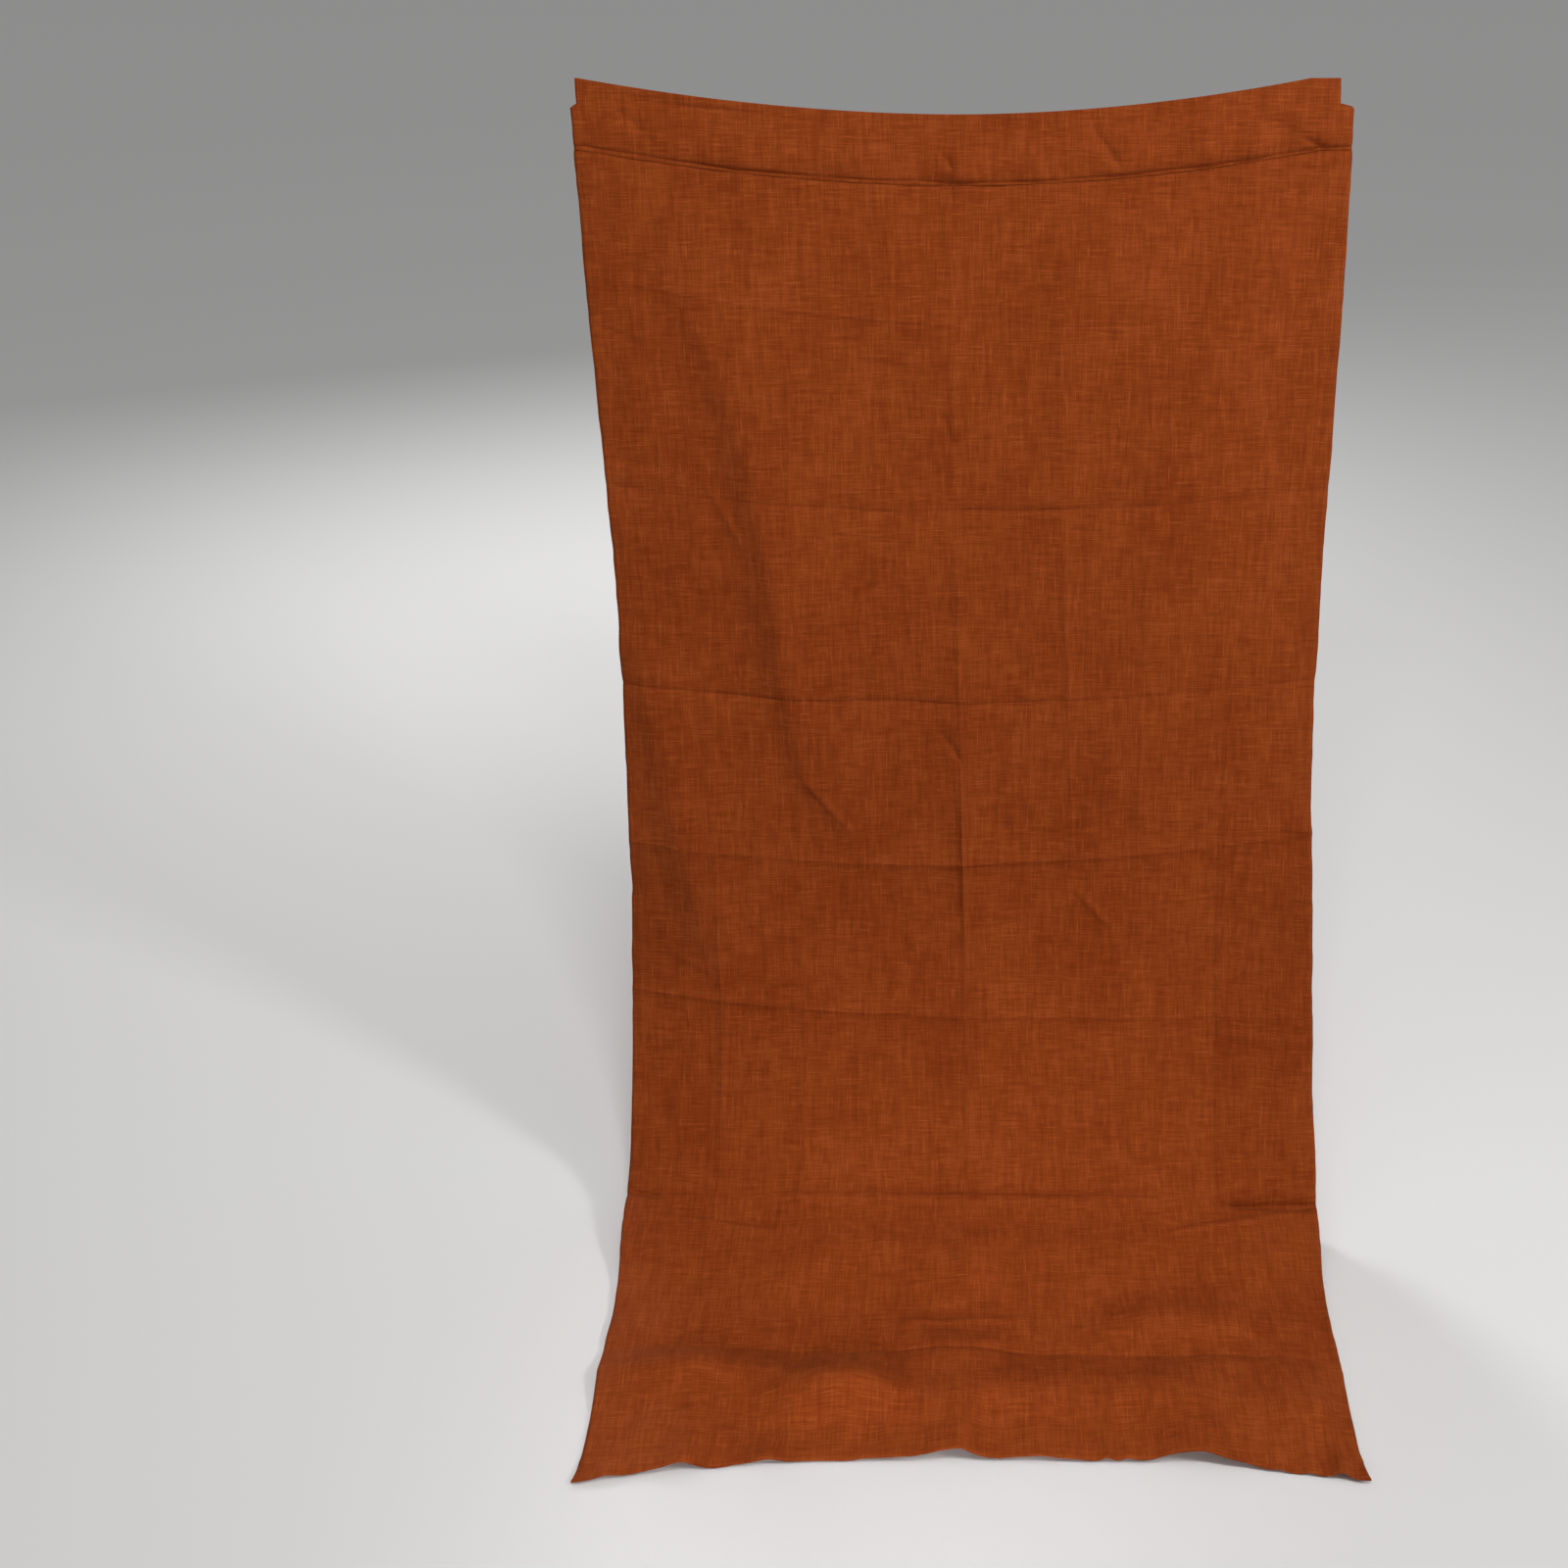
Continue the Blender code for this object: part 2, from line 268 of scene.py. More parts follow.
# Packing creases down the panel: x at its top and bottom, then heights at CREASE_ALONG
CREASE_ALONG = (0.20, 0.55, 1.00, 1.35, 1.70, 2.00, 2.25, 2.45)
COLUMN_CREASES = (
    (-0.515, -0.516, (0.0, 0.0, 0.3, 0.6, 1.4, 1.9, 0.8, 0.0)),
    (-0.345, -0.340, (0.2, 0.3, 0.4, 0.3, 0.4, 0.4, 0.2, 0.0)),
    (-0.041, 0.008, (0.5, 1.1, 1.2, 2.4, 2.3, 1.6, 0.8, 0.0)),
    (0.158, 0.250, (0.7, 1.2, 1.7, 0.8, 0.3, 0.3, 0.3, 0.0)),
    (0.350, 0.345, (0.2, 0.3, 0.4, 0.4, 0.3, 0.4, 0.2, 0.0)),
    (0.516, 0.508, (0.0, 0.0, -0.3, -0.7, -1.4, -2.2, -1.6, 0.0)),
)
CREASE_REACH = 0.013         # a crease's slope dies away over this distance
CREASE_LINE = 0.0022         # half-width of the sharp line at its crest
LINE_SHARE = 0.26
PRESS = 0.0027               # metres per unit of the crease tables' heights
NICK_GAIN = 3.2


def crease(distance, width):
    """A crease's cross-section: sharp at its crest and gone a few widths away."""
    return np.exp(-np.abs(distance) / width)


def pressed(distance):
    """A packing crease: a sharp line in a softer slope."""
    return crease(distance, CREASE_REACH) + LINE_SHARE * crease(distance, CREASE_LINE)


def row_crease_along(x, left, middle, right):
    share = x / HALF_WIDTH
    return middle + (right - left) / 2.0 * share + ((left + right) / 2.0 - middle) * share ** 2


def packing_relief(x, along):
    total = np.zeros(x.shape)
    for index, (left, middle, right, heights) in enumerate(ROW_CREASES):
        wander = 0.0035 * noise(x * 7.0 + 5.0, 0.0 * along + 0.5, 40 + index)
        height = PRESS * np.interp(x, CREASE_X, heights)
        height = height * (1.0 + 0.45 * noise(x * 11.0 + 9.0, 0.0 * along + 0.5, 60 + index))
        total = total + height * pressed(along - row_crease_along(x, left, middle, right) - wander)
    for index, (first, last, heights) in enumerate(COLUMN_CREASES):
        place = first + (last - first) * along / CREASE_ALONG[-1]
        wander = 0.0025 * noise(0.0 * x + 0.5, along * 6.0 + 3.0, 80 + index)
        height = PRESS * np.interp(along, CREASE_ALONG, heights)
        height = height * (1.0 + 0.45 * noise(0.0 * x + 0.5, along * 9.0 + 7.0, 100 + index))
        total = total + height * pressed(x - place - wander)
    return total


CREST_START = 0.024          # radius of a draw fold's crest where it starts, and where it ends
CREST_END = 0.003


def fold_relief(x, along):
    total = np.zeros(x.shape)
    for points, height, left, right in DRAW_FOLDS:
        signed, share = polyline_distance(x, along, rounded(points))
        fade = np.sin(math.pi * np.clip(share, 0.0, 1.0)) ** 0.8
        crest = CREST_START + (CREST_END - CREST_START) * share
        flank = (np.hypot(signed, crest) - crest) / np.where(signed < 0.0, left, right)
        total = total + height * fade * np.exp(-(flank ** 1.35))
    for start, end, height, width in NICKS:
        signed, share = polyline_distance(x, along, (start, end))
        fade = smooth(share * 4.0) * smooth((1.0 - share) * 4.0)
        ends = np.where((share <= 0.0) | (share >= 1.0), 0.0, fade)
        total = total + NICK_GAIN * height * ends * crease(signed, width)
    return total


SIDE_TURN = 0.535            # beyond this the panel's lower sides turn a little
SIDE_EASE = 0.035
RIGHT_TURN = 0.24
LEFT_TURN = -0.13


def side_turn(x, along):
    """The outer strips of the lower half turn to the left."""
    window = smooth((along - 1.42) / 0.16) * smooth((2.30 - along) / 0.18)
    uneven = 1.0 + 0.35 * noise(along * 8.0, along * 0.0 + 0.5, 9)
    right = RIGHT_TURN * (x - SIDE_TURN + np.hypot(x - SIDE_TURN, SIDE_EASE)) / 2.0
    left = LEFT_TURN * (-x - SIDE_TURN + np.hypot(x + SIDE_TURN, SIDE_EASE)) / 2.0
    return (right + left) * window * uneven


def cell_relief(x, along):
    """Each cell between packing creases keeps its own slight bow."""
    bow = 0.0050 * noise(x * 2.6 + 11.0, along * 2.2 + 2.0, 7)
    bow = bow + 0.0038 * noise(x * 6.5 + 3.0, along * 5.0 + 8.0, 8)
    return bow + side_turn(x, along)


def crumple_relief(x, along):
    small = 0.0013 * noise(x * 19.0 + 20.0, along * 12.0 + 20.0, 21)
    ridged = 0.0022 * (0.5 - np.abs(noise(x * 13.0 + 31.0, along * 9.0 + 30.0, 22)))
    fine = 0.00026 * noise(x * 70.0 + 5.0, along * 45.0 + 5.0, 23)
    return small + ridged + fine


# Spare cloth on the floor: lumps with their x, along, height, reach in x and reach along
LUMPS = (
    (-0.52, 2.715, 0.046, 0.150, 0.052),
    (-0.24, 2.775, 0.062, 0.140, 0.054),
    (0.44, 2.575, 0.028, 0.170, 0.050),
    (0.62, 2.790, 0.024, 0.075, 0.075),
    (0.12, 2.760, 0.028, 0.170, 0.062),
    (0.38, 2.770, 0.026, 0.110, 0.066),
    (-0.64, 2.590, 0.014, 0.070, 0.050),
    (-0.03, 2.650, 0.018, 0.120, 0.050),
)
# Ripples that open at the bottom edge: x, height, reach to the left and right, length
RIPPLES = (
    (-0.515, 0.016, 0.050, 0.032, 0.14), (-0.345, 0.014, 0.045, 0.070, 0.16),
    (-0.020, 0.030, 0.110, 0.036, 0.20), (0.195, 0.005, 0.060, 0.030, 0.12),
    (0.247, 0.009, 0.014, 0.012, 0.14), (0.288, 0.006, 0.013, 0.013, 0.09),
    (0.425, 0.034, 0.120, 0.085, 0.22), (0.560, 0.008, 0.020, 0.016, 0.10),
    (0.600, 0.007, 0.014, 0.014, 0.14), (0.665, 0.012, 0.016, 0.014, 0.18),
    (-0.640, 0.008, 0.020, 0.030, 0.12),
)
LUMP_BACK = 1.35             # a lump's back is this many times as long as its front
SWELL_ALONG = 2.325
ON_FLOOR = 0.004             # the cloth stays above the floor, eased over this height
SWELL_HEIGHT = 0.038
SWELL_REACH = 0.130          # in front of its crest
SWELL_LEAD = 0.20            # behind its crest, where it leaves the hanging cloth


def floor_relief(x, along):
    """Ripples and lumps where the spare length lies on the floor."""
    swell_along = SWELL_ALONG + 0.045 * noise(x * 2.2 + 4.0, x * 0.0 + 0.5, 31)
    flank = np.where(along < swell_along, SWELL_LEAD, SWELL_REACH)
    swell = SWELL_HEIGHT * np.exp(-((along - swell_along) / flank) ** 2)
    total = np.zeros(x.shape)
    for at_x, at_along, height, reach_x, reach_along in LUMPS:
        flank = np.where(along < at_along, reach_along * LUMP_BACK, reach_along)
        spread = ((x - at_x) / reach_x) ** 2 + ((along - at_along) / flank) ** 2
        total = total + height * np.exp(-spread)
    for index, (at_x, height, left, right, length) in enumerate(RIPPLES):
        growth = smooth((along - bottom_line(x) + length) / length)
        off = x - at_x - 0.012 * noise(along * 9.0, along * 0.0 + 0.5, 33 + index)
        total = total + height * growth * np.exp(-np.abs(off / np.where(off < 0.0, left, right)) ** 1.7)
    broken = 0.008 * noise(x * 9.0 + 1.0, along * 7.0, 34) + 0.0035 * noise(x * 22.0, along * 16.0, 35)
    lying = smooth((along - TOUCHDOWN + 0.12) / 0.20)
    return swell + (total + broken) * lying


# Full places in the pocket's front: x and extra fullness
BULGES = ((-0.47, 0.0050), (-0.40, 0.0040), (-0.02, 0.0110), (0.13, 0.0040), (0.275, 0.0090),
          (0.43, 0.0090), (0.515, 0.0080), (0.635, 0.0150))
BULGE_REACH = 0.036
TUCK_GAIN = 3.2
POCKET_TUCKS = (
    ((0.226, 0.070), (0.290, 0.158), -0.0034, 0.007),
    ((-0.050, 0.110), (-0.025, 0.150), -0.0030, 0.010),
    ((0.525, 0.055), (0.590, 0.070), -0.0026, 0.012),
    ((0.600, 0.085), (0.650, 0.108), -0.0040, 0.010),
    ((-0.645, 0.030), (-0.570, 0.100), -0.0018, 0.012),
    ((-0.62, 0.026), (-0.35, 0.052), -0.0014, 0.008),
)


def pocket_bulge(x, along):
    """The front of the pocket stands out above its seam and turns in sharply to it."""
    start, end = top_line(x), seam_line(x)
    share = np.clip((along - start) / (end - start), 0.0, 1.0)
    fullness = 0.0070 + 0.0026 * noise(x * 8.0 + 2.0, x * 0.0 + 0.5, 51)
    fullness = fullness + 0.0016 * noise(x * 23.0 + 2.0, x * 0.0 + 0.5, 52)
    for at_x, extra in BULGES:
        fullness = fullness + extra * np.exp(-((x - at_x) / BULGE_REACH) ** 2)
    tight = 1.9 + 60.0 * np.clip(fullness - 0.006, 0.0, 0.02)
    bulge = np.sin(math.pi * share ** tight) ** 0.8
    flat = 0.0026 * noise(x * 11.0, along * 13.0, 53) * smooth(share * 4.0)
    for first, last, height, width in POCKET_TUCKS:
        signed, length = polyline_distance(x, along, (first, last))
        flat = flat + TUCK_GAIN * height * np.sin(math.pi * length) * crease(signed, width)
    return (fullness * bulge + flat) * smooth((1.0 - share) * 12.0)


def seam_pucker(x, along):
    """Small gathers below the pocket seam, where the stitching holds the cloth short."""
    below = along - seam_line(x)
    reach = np.where(below >= 0.0, np.exp(-np.clip(below, 0.0, None) / 0.045), 0.0)
    gathers = 0.0011 * noise(x * 46.0, x * 0.0 + 0.5, 55) + 0.0014 * noise(x * 21.0, x * 0.0 + 0.5, 56)
    dip = -0.0050 * np.exp(-(below / 0.0058) ** 2)
    return gathers * reach + dip


def edge_flutter(x, along):
    """The side edges curl and flutter a little."""
    nearness = np.exp(-(half_width(along) - np.abs(x - middle_x(along))) / 0.035)
    side = np.where(x < 0.0, 0.0, 17.0)
    wave = 0.0068 * noise(along * 9.0 + side, side + 0.5, 57)
    wave = wave + 0.0032 * noise(along * 28.0 + side, side + 0.5, 58)
    return nearness * (wave - 0.0015) * smooth((along - 0.2) / 0.3)


def relief(x, along):
    """Height of the cloth in front of the hanging profile."""
    body = packing_relief(x, along) + fold_relief(x, along) + cell_relief(x, along)
    body = body * smooth((along - seam_line(x)) / 0.10)
    total = body + crumple_relief(x, along) + floor_relief(x, along)
    total = total + pocket_bulge(x, along) + seam_pucker(x, along) + edge_flutter(x, along)
    held = smooth((along - top_line(x)) / 0.02)
    above = (total + np.hypot(total, ON_FLOOR)) / 2.0
    floor_share = smooth((along - TOUCHDOWN + 0.16) / 0.14)
    return (total + (above - total) * floor_share) * held


def lay(x, along, offset=0.0):
    """World places for flat cloth coordinates, offset to the back of the cloth."""
    y, z, normal_y, normal_z = profile(along)
    back = offset - relief(x, along)
    return np.stack([x + 0.0 * y, y + normal_y * back, z + normal_z * back], axis=-1)


# ---------------------------------------------------------------- meshes

def mesh_object(name, places, faces, weave=None):
    mesh = bpy.data.meshes.new(name)
    mesh.from_pydata(places.reshape(-1, 3).tolist(), [], faces.tolist())
    if weave is not None:
        layer = mesh.attributes.new("weave", "FLOAT_VECTOR", "POINT")
        layer.data.foreach_set("vector", weave.astype(np.float32).ravel())
    mesh.validate()
    mesh.shade_smooth()
    piece = bpy.data.objects.new(name, mesh)
    bpy.context.scene.collection.objects.link(piece)
    return piece


def grid_faces(rows, columns):
    index = np.arange(rows * columns).reshape(rows, columns)
    corners = (index[:-1, :-1], index[1:, :-1], index[1:, 1:], index[:-1, 1:])
    return np.stack(corners, axis=-1).reshape(-1, 4)


def grid_piece(name, places, x, along, thickness=PLY):
    """A sheet of cloth on a grid of places, with its flat coordinates for the weave."""
    rows, columns = x.shape
    weave = np.stack([x, along, 0.0 * x], axis=-1).reshape(-1, 3)
    piece = mesh_object(name, places, grid_faces(rows, columns), weave)
    solid = piece.modifiers.new("ply", "SOLIDIFY")
    solid.thickness = thickness
    solid.offset = 0.0
    with bpy.context.temp_override(object=piece, active_object=piece):
        bpy.context.view_layer.objects.active = piece
        bpy.ops.object.modifier_apply(modifier="ply")
    return piece


def finish_piece(piece, slot, material, *nodes):
    piece.data.materials.clear()
    piece.data.materials.append(material)
    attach(piece, "root")
    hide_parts(*nodes)
    return piece


# ---------------------------------------------------------------- materials

WEAVE_PER_METRE = 175.0      # wave bands run 2 pi per unit, so about 1100 threads a metre


class Nodes:
    """A short way to add shader nodes and join them."""

    def __init__(self, name):
        self.material = bpy.data.materials.new(name)
        self.material.use_nodes = True
        self.tree = self.material.node_tree
        self.shader = self.tree.nodes["Principled BSDF"]

    def add(self, kind, inputs=(), **settings):
        node = self.tree.nodes.new(kind)
        for key, value in settings.items():
            setattr(node, key, value)
        for key, value in dict(inputs).items():
            self.put(node.inputs[key], value)
        return node

    def put(self, socket, value):
        if isinstance(value, bpy.types.NodeSocket):
            self.tree.links.new(value, socket)
        else:
            socket.default_value = value

    def math(self, operation, first, second=0.0):
        node = self.add("ShaderNodeMath", {0: first, 1: second}, operation=operation)
        return node.outputs[0]

    def stretched(self, vector, scale, detail=2.0, rough=0.5, offset=(0.0, 0.0, 0.0)):
        """Noise on the flat cloth, with its own number of features per metre each way."""
        mapped = self.add("ShaderNodeMapping", {"Vector": vector, "Scale": scale, "Location": offset})
        texture = self.add("ShaderNodeTexNoise", {
            "Vector": mapped.outputs[0], "Scale": 1.0, "Detail": detail, "Roughness": rough})
        return texture.outputs[0]

    def ramp(self, value, stops):
        node = self.add("ShaderNodeValToRGB", {"Fac": value})
        points = node.color_ramp.elements
        while len(points) < len(stops):
            points.new(0.5)
        for point, (position, colour) in zip(points, stops):
            point.position = position
            point.color = (*colour, 1.0)
        return node.outputs[0]


def linen_material():
    """Plain-weave linen, dyed rust: fine threads, slubs whose lighter colour is a painted highlight, cloudy
    dye, thread relief, a dull sheen.
    """
    n = Nodes("linen")
    flat = n.add("ShaderNodeAttribute", attribute_name="weave").outputs["Vector"]
    weft_thread = n.stretched(flat, (15.0, 420.0, 1.0), 2.0, 0.8, (3.1, 0.7, 0.0))
    warp_thread = n.stretched(flat, (400.0, 13.0, 1.0), 2.0, 0.8)
    weft_streak = n.stretched(flat, (9.0, 120.0, 1.0), 2.0, 0.5, (1.0, 8.0, 0.0))
    warp_streak = n.stretched(flat, (95.0, 8.0, 1.0), 2.0, 0.5, (5.0, 2.0, 0.0))
    warp_slub = n.stretched(flat, (330.0, 22.0, 1.0), 0.0, 0.5, (2.0, 6.0, 0.0))
    weft_slub = n.stretched(flat, (26.0, 360.0, 1.0), 0.0, 0.5, (9.0, 4.0, 0.0))
    cloud = n.stretched(flat, (6.0, 4.5, 1.0), 2.0, 0.5)
    patch = n.stretched(flat, (34.0, 24.0, 1.0), 3.0, 0.6, (7.0, 1.0, 0.0))

    threads = n.math("ADD", n.math("MULTIPLY", weft_thread, 0.55), n.math("MULTIPLY", warp_thread, 0.45))
    streaks = n.math("ADD", n.math("MULTIPLY", weft_streak, 0.42), n.math("MULTIPLY", warp_streak, 0.58))
    yarn = n.math("ADD", n.math("MULTIPLY", threads, 0.72), n.math("MULTIPLY", streaks, 0.28))
    dye = n.math("ADD", n.math("MULTIPLY", cloud, 0.50), n.math("MULTIPLY", patch, 0.50))
    tone = n.math("ADD", n.math("MULTIPLY", yarn, 0.76), n.math("MULTIPLY", dye, 0.24))
    # Sparse slubs: the thick yarn is real and is raised by the bump below, and lightening its colour is a
    # painted highlight.
    for slub in (warp_slub, weft_slub):
        slub_painted_highlight = n.math("MAXIMUM", n.math("SUBTRACT", slub, 0.66), 0.0)
        tone = n.math("ADD", tone, n.math("MULTIPLY", slub_painted_highlight, 0.55))
    colour = n.ramp(tone, (
        (0.41, (0.190, 0.0282, 0.0024)),
        (0.50, (0.256, 0.0445, 0.0054)),
        (0.59, (0.342, 0.0690, 0.0116))))
    n.put(n.shader.inputs["Base Color"], colour)

    rough = n.math("ADD", n.math("MULTIPLY", yarn, 0.20), 0.72)
    n.put(n.shader.inputs["Roughness"], rough)
    n.shader.inputs["Specular IOR Level"].default_value = 0.10
    n.shader.inputs["Sheen Weight"].default_value = 0.06
    n.shader.inputs["Sheen Roughness"].default_value = 0.55
    n.shader.inputs["Sheen Tint"].default_value = (1.0, 0.36, 0.12, 1.0)

    pitch = (WEAVE_PER_METRE, WEAVE_PER_METRE, 1.0)
    over = n.add("ShaderNodeMapping", {"Vector": flat, "Scale": pitch}).outputs[0]
    bands = [n.add("ShaderNodeTexWave", {"Vector": over, "Scale": 1.0, "Distortion": 0.0},
                   bands_direction=axis).outputs["Fac"] for axis in ("X", "Y")]
    weave = n.math("MULTIPLY", bands[0], bands[1])
    height = n.math("ADD", n.math("MULTIPLY", weave, 0.20), n.math("MULTIPLY", tone, 1.6))
    bump = n.add("ShaderNodeBump", {"Height": height, "Strength": 0.6, "Distance": 0.0009})
    n.put(n.shader.inputs["Normal"], bump.outputs[0])
    return n.material


def thread_material():
    """Spun sewing thread: fine twist lines and a slightly smoother surface than the cloth."""
    n = Nodes("thread")
    place = n.add("ShaderNodeTexCoord").outputs["Object"]
    fibre = n.stretched(place, (900.0, 900.0, 900.0), 2.0, 0.6)
    colour = n.ramp(fibre, (
        (0.30, (0.150, 0.024, 0.004)),
        (0.70, (0.290, 0.056, 0.011))))
    n.put(n.shader.inputs["Base Color"], colour)
    n.shader.inputs["Roughness"].default_value = 0.62
    n.shader.inputs["Specular IOR Level"].default_value = 0.12
    n.shader.inputs["Sheen Weight"].default_value = 0.06
    n.shader.inputs["Sheen Tint"].default_value = (1.0, 0.36, 0.12, 1.0)
    bump = n.add("ShaderNodeBump", {"Height": fibre, "Strength": 0.4, "Distance": 0.0002})
    n.put(n.shader.inputs["Normal"], bump.outputs[0])
    return n.material


LINEN = linen_material()
THREAD = thread_material()


# ---------------------------------------------------------------- cloth pieces

COLUMNS = 250
ROW_STEP = 0.0062
COLUMN_STEP = 0.0058
CREASE_STEP = 0.0017
CREASE_CROWD = 0.007
ROLL = PITCH                 # radius of the top fold's roll
ROLL_ROWS = 6
TUNNEL_BACK = 0.011          # how far the pocket's back hangs behind its front
HEADING = 0.024
BACK_SLOPE = 0.028           # lower part of the pocket's back, where it closes to the seam
POCKET_EDGE = 0.002
FOLD_ROWS = (0.0, 0.0015, 0.004, 0.008)     # depths of the panel's first rows below the top fold
CORNER_ROWS = (0.012, 0.062, 0.0022)        # depths of the rows past the set-in corners, and their step
POCKET_ROWS = 29                            # from there to the seam
SEAM_ROWS = (0.0012, 0.0026, 0.0045, 0.007, 0.011, 0.016, 0.022)     # depths of rows below the seam
BACK_WEAVE_SHIFT = 5.0       # so that the pocket's back does not repeat the front's slubs


def edge_inset(side, below_top):
    """The pocket's upper corners are set in, with a rounded inner corner."""
    notch = NOTCH_LEFT if side < 0 else NOTCH_RIGHT
    return notch * (1.0 - smooth((below_top - NOTCH_HEIGHT + 0.003) / 0.006))


def column_x(u, along, below_top, inset=0.0):
    """X of columns u, from -1 to 1, between the side edges."""
    left = middle_x(along) - half_width(along) + edge_inset(-1, below_top) + inset
    right = middle_x(along) + half_width(along) - edge_inset(1, below_top) - inset
    return left + (right - left) * (u + 1.0) / 2.0


def stations(first, last, step=ROW_STEP):
    return np.linspace(first, last, max(2, int(round((last - first) / step)) + 1))


def graded(first, last, places, step=ROW_STEP):
    """Stations that crowd together at these places, where the cloth is creased."""
    fine = np.linspace(first, last, 6000)
    density = np.full(fine.shape, 1.0 / step)
    for place in places:
        density = density + (1.0 / CREASE_STEP - 1.0 / step) * np.exp(-((fine - place) / CREASE_CROWD) ** 2)
    count = np.concatenate([[0.0], np.cumsum((density[1:] + density[:-1]) / 2.0) * (fine[1] - fine[0])])
    return np.interp(np.linspace(0.0, count[-1], int(count[-1]) + 1), count, fine)


def panel_columns():
    places = [(first + last) / 2.0 / HALF_WIDTH for first, last, _ in COLUMN_CREASES]
    return graded(-1.0, 1.0, places, COLUMN_STEP / HALF_WIDTH)


def panel_rows(guide):
    """Rows that follow the seam, each packing crease and the bottom edge."""
    lines = [seam_line(guide) + SEAM_ROWS[-1]]
    lines += [row_crease_along(guide, *row[:3]) for row in ROW_CREASES]
    lines += [bottom_line(guide)]
    rows = []
    for upper, lower in zip(lines, lines[1:]):
        middle = len(guide) // 2
        first, last = upper[middle], lower[middle]
        ends = [last] if lower is not lines[-1] else []
        ends += [first] if upper is not lines[0] else []
        for place in graded(first, last, ends)[1:]:
            rows.append(upper + (lower - upper) * (place - first) / (last - first))
    return rows


def make_panel():
    u = panel_columns()
    guide = u * HALF_WIDTH
    top, seam = top_line(guide), seam_line(guide)
    rows = [top + depth for depth in FOLD_ROWS]
    rows += [top + depth for depth in stations(*CORNER_ROWS)]
    deep = CORNER_ROWS[1]
    shares = np.linspace(0, 1, POCKET_ROWS + 1)[1:]
    rows += [top + deep + (seam - top - deep) * share for share in shares]
    rows += [seam + depth for depth in SEAM_ROWS]
    rows += panel_rows(guide)
    along = np.array(rows)
    x = column_x(u[None, :], along, along - top[None, :])
    places = lay(x, along)
    roll = []
    for step in range(ROLL_ROWS, 0, -1):
        angle = math.pi * step / ROLL_ROWS
        above = top - ROLL * math.sin(angle)
        roll.append(lay(x[0], above, ROLL * (1.0 - math.cos(angle))))
    places = np.concatenate([np.array(roll), places])
    x = np.concatenate([np.repeat(x[:1], ROLL_ROWS, axis=0), x])
    lead = np.array([top - ROLL * (step + 1) for step in range(ROLL_ROWS)][::-1])
    along = np.concatenate([lead, along])
    return grid_piece("panel_linen", places, x, along)


def place_back(x, along, back):
    """Places behind the hanging profile, without the front's relief."""
    y, z, normal_y, normal_z = profile(along)
    return np.stack([x + 0.0 * y, y + normal_y * back, z + normal_z * back], axis=-1)


def pocket_back_offset(x, along):
    """How far the pocket's back ply hangs behind the front, zero spread at its fold and seam."""
    start, end = top_line(x), seam_line(x)
    share = np.clip((along - start) / (end - start), 0.0, 1.0)
    open_share = np.sin(math.pi * share ** 1.15)
    ripple = 1.0 + 0.22 * noise(x * 5.0 + 4.0, along * 6.0, 71)
    crumple = 0.0007 * noise(x * 18.0, along * 18.0, 72)
    return 2.0 * PITCH + TUNNEL_BACK * open_share * ripple + crumple * smooth(open_share * 3.0)


def back_strip(name, start_line, start_drop, end_line, end_drop, shift=0.0):
    u = np.linspace(-1.0, 1.0, COLUMNS + 1)
    guide = u * HALF_WIDTH
    start = start_line(guide) + start_drop
    end = end_line(guide) + end_drop
    count = max(4, int((end - start).max() / 0.003))
    along = np.array([start + (end - start) * share for share in np.linspace(0.0, 1.0, count)])
    x = column_x(u[None, :], along, along - top_line(guide)[None, :])
    places = place_back(x, along, pocket_back_offset(x, along) + shift)
    return grid_piece(name, places, x, along + BACK_WEAVE_SHIFT)


def make_pocket_back():
    heading = back_strip("heading_turnover", top_line, 0.0, top_line, HEADING)
    back = back_strip("pocket_back", top_line, HEADING, seam_line, -BACK_SLOPE)
    hem = back_strip("pocket_hem", seam_line, -BACK_SLOPE, seam_line, POCKET_EDGE)
    under = back_strip("pocket_raw_edge", seam_line, -TURN_UNDER, seam_line, POCKET_EDGE, -PITCH)
    finish_piece(heading, "linen", LINEN, "heading_fold")
    finish_piece(back, "linen", LINEN, "pocket_back_ply")
    finish_piece(hem, "linen", LINEN, "pocket_hem_fold")
    finish_piece(under, "linen", LINEN, "pocket_turn_under")
    return [heading, back, hem, under]


# A folded hem's section: inset from the edge, layers behind the panel
FOLD_SECTION = ((0.0, 0.0), (-0.0006, 0.25), (-0.0010, 0.70), (-0.0011, 1.10), (-0.0008, 1.55),
                (0.0, 1.90), (0.0015, 2.0))


def side_hem(label, side):
    """The side hem folds round the panel's edge and lies flat behind it."""
    section = FOLD_SECTION + ((SIDE_HEM * 0.4, 2.0), (SIDE_HEM * 0.75, 2.05), (SIDE_HEM, 2.0))
    along = stations(POCKET_AT_CORNER + 0.004, CORNER_LENGTH - BOTTOM_HEM - 0.004)
    return hem_strip(label + "_hem", side, along, section)


def hem_strip(name, side, along, section):
    grid_along = np.repeat(along[:, None], len(section), axis=1)
    inset = np.array([point[0] for point in section])[None, :]
    layer = np.array([point[1] for point in section])[None, :]
    x = middle_x(grid_along) + side * (half_width(grid_along) - inset)
    return grid_piece(name, lay(x, grid_along, layer * PITCH), x, grid_along)


def side_raw_edge(label, side):
    along = stations(POCKET_AT_CORNER + 0.006, CORNER_LENGTH - BOTTOM_HEM - 0.006, 0.011)
    section = ((0.0006, 1.0), (TURN_UNDER / 2.0, 1.0), (TURN_UNDER, 1.0))
    return hem_strip(label + "_hem_raw_edge", side, along, section)


